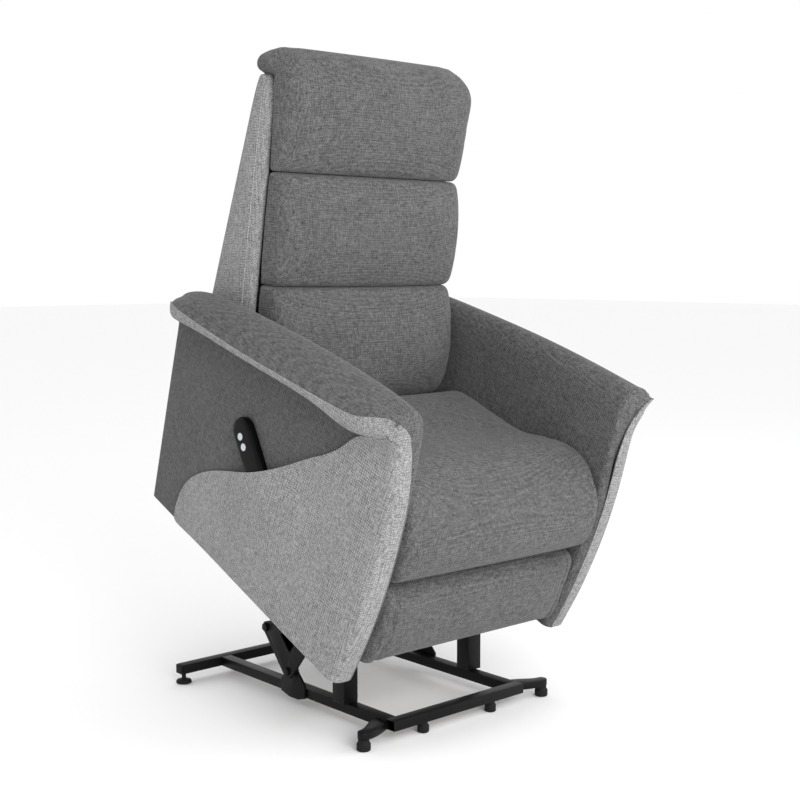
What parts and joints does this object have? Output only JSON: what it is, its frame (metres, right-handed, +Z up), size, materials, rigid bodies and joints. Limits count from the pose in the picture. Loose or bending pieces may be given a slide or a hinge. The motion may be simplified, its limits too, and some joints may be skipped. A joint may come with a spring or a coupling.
{
  "type": "lift recliner chair",
  "caption": "Powered lift recliner, raised and tipped forward on a linkage over a tube base, with fabric back cushions, flared arms, a folded leg rest and a pocketed handset.",
  "frame": {"origin": "centre of the overall bounding box in plan, on the floor, with the chair raised", "axes": "+Z up, -Y the way the sitter faces, +X the sitter's left"},
  "size_m": [0.808, 0.9006, 1.4519],
  "materials": {
    "black_steel": "satin black powder coat",
    "rubber": "matt black",
    "zinc_steel": "zinc plated",
    "motor_plastic": "matt dark grey moulding",
    "timber": "unfinished board, hidden by the covers",
    "dark_fabric": "dark grey linen-look weave",
    "pale_fabric": "lighter grey, coarser weave",
    "gloss_plastic": "gloss black",
    "grey_plastic": "pale grey keys"
  },
  "bodies": {
    "base": {"front_cross_tube": "black_steel", "rear_cross_tube": "black_steel", "rail_right": "black_steel", "rail_left": "black_steel", "rear_end_cap_right": "rubber", "rear_end_cap_left": "rubber", "outrigger_right": "black_steel", "outrigger_left": "black_steel", "side_foot_right": "rubber", "side_foot_left": "rubber", "front_foot_right": "rubber", "front_foot_left": "rubber", "rear_glide_right": "rubber", "rear_glide_left": "rubber", "post_right": "black_steel", "post_left": "black_steel", "crank_bracket_right": "black_steel", "crank_bracket_left": "black_steel", "actuator_bracket": "black_steel", "actuator_body": "motor_plastic"},
    "lift_cranks": {"crank_right": "black_steel", "crank_left": "black_steel", "torque_tube": "black_steel"},
    "front_links": {"front_link_frame": "black_steel"},
    "actuator_rod": {"actuator_rod": "zinc_steel"},
    "chassis": {"mechanism_plate_right": "black_steel", "mechanism_plate_left": "black_steel", "lift_rail_right": "black_steel", "lift_rail_left": "black_steel", "front_cross_member": "black_steel", "rear_cross_member": "black_steel", "seat_frame": "timber", "seat_deck": "timber", "seat_cushion": "dark_fabric", "control_box": "motor_plastic", "arm_right": "dark_fabric", "arm_left": "dark_fabric", "arm_top_right": "dark_fabric", "arm_top_left": "dark_fabric", "side_panel_right": "pale_fabric", "side_panel_left": "pale_fabric"},
    "backrest": {"back_frame": "pale_fabric", "back_webbing": "timber", "back_rear_cover": "pale_fabric", "back_cushion_lumbar": "dark_fabric", "back_cushion_middle": "dark_fabric", "back_cushion_head": "dark_fabric"},
    "leg_arms_upper": {"leg_yoke_upper": "black_steel"},
    "leg_arms_lower": {"leg_yoke_lower": "black_steel"},
    "leg_panel": {"leg_board_bracket_right": "black_steel", "leg_board_bracket_left": "black_steel", "leg_rest_board": "timber", "leg_rest_pad": "dark_fabric"},
    "handset": {"handset": "gloss_plastic"},
    "button_up": {"button_up": "grey_plastic"},
    "button_down": {"button_down": "grey_plastic"}
  },
  "joints": [
    {"name": "lift", "type": "hinge", "parent": "base", "child": "lift_cranks", "pos_m": [0, 0.1059, 0.0801], "axis": [1, 0, 0], "range_deg": [0, 61.38]},
    {"name": "chassis_pivot", "type": "hinge", "parent": "lift_cranks", "child": "chassis", "pos_m": [0, -0.01551, 0.22485], "axis": [1, 0, 0], "range_deg": [-85.5, 0]},
    {"name": "front_link_pivot", "type": "hinge", "parent": "base", "child": "front_links", "pos_m": [0, -0.0597, 0.1499], "axis": [1, 0, 0], "range_deg": [0, 83.85]},
    {"name": "actuator_stroke", "type": "slide", "parent": "base", "child": "actuator_rod", "axis": [0, -0.9784, 0.2065], "range_m": [0, 0.0643]},
    {"name": "recline", "type": "hinge", "parent": "chassis", "child": "backrest", "pos_m": [0, 0.25215, 0.62556], "axis": [-1, 0, 0], "range_deg": [0, 35]},
    {"name": "leg_rest", "type": "hinge", "parent": "chassis", "child": "leg_arms_upper", "pos_m": [0, -0.18579, 0.34301], "axis": [-1, 0, 0], "range_deg": [0, 97.07]},
    {"name": "leg_elbow", "type": "hinge", "parent": "leg_arms_upper", "child": "leg_arms_lower", "pos_m": [0, -0.11454, 0.22477], "axis": [1, 0, 0], "range_deg": [0, 136.2]},
    {"name": "leg_panel_pivot", "type": "hinge", "parent": "leg_arms_lower", "child": "leg_panel", "pos_m": [0, -0.20923, 0.31944], "axis": [-1, 0, 0], "range_deg": [0, 129.1]},
    {"name": "handset_pull", "type": "slide", "parent": "chassis", "child": "handset", "axis": [0, 0.4695, 0.8829], "range_m": [0, 0.09]},
    {"name": "button_up_press", "type": "slide", "parent": "handset", "child": "button_up", "axis": [1, 0, 0], "range_m": [0, 0.001], "stiffness_N_per_m": 300},
    {"name": "button_down_press", "type": "slide", "parent": "handset", "child": "button_down", "axis": [1, 0, 0], "range_m": [0, 0.001], "stiffness_N_per_m": 300}
  ],
  "couplings": [
    {"joint": "chassis_pivot", "follows": "lift", "ratio": -1.391},
    {"joint": "front_link_pivot", "follows": "lift", "ratio": 1.3641},
    {"joint": "actuator_stroke", "follows": "lift", "m_per_rad": 0.05979},
    {"joint": "leg_elbow", "follows": "leg_rest", "ratio": 1.4018},
    {"joint": "leg_panel_pivot", "follows": "leg_rest", "ratio": 1.3289}
  ]
}
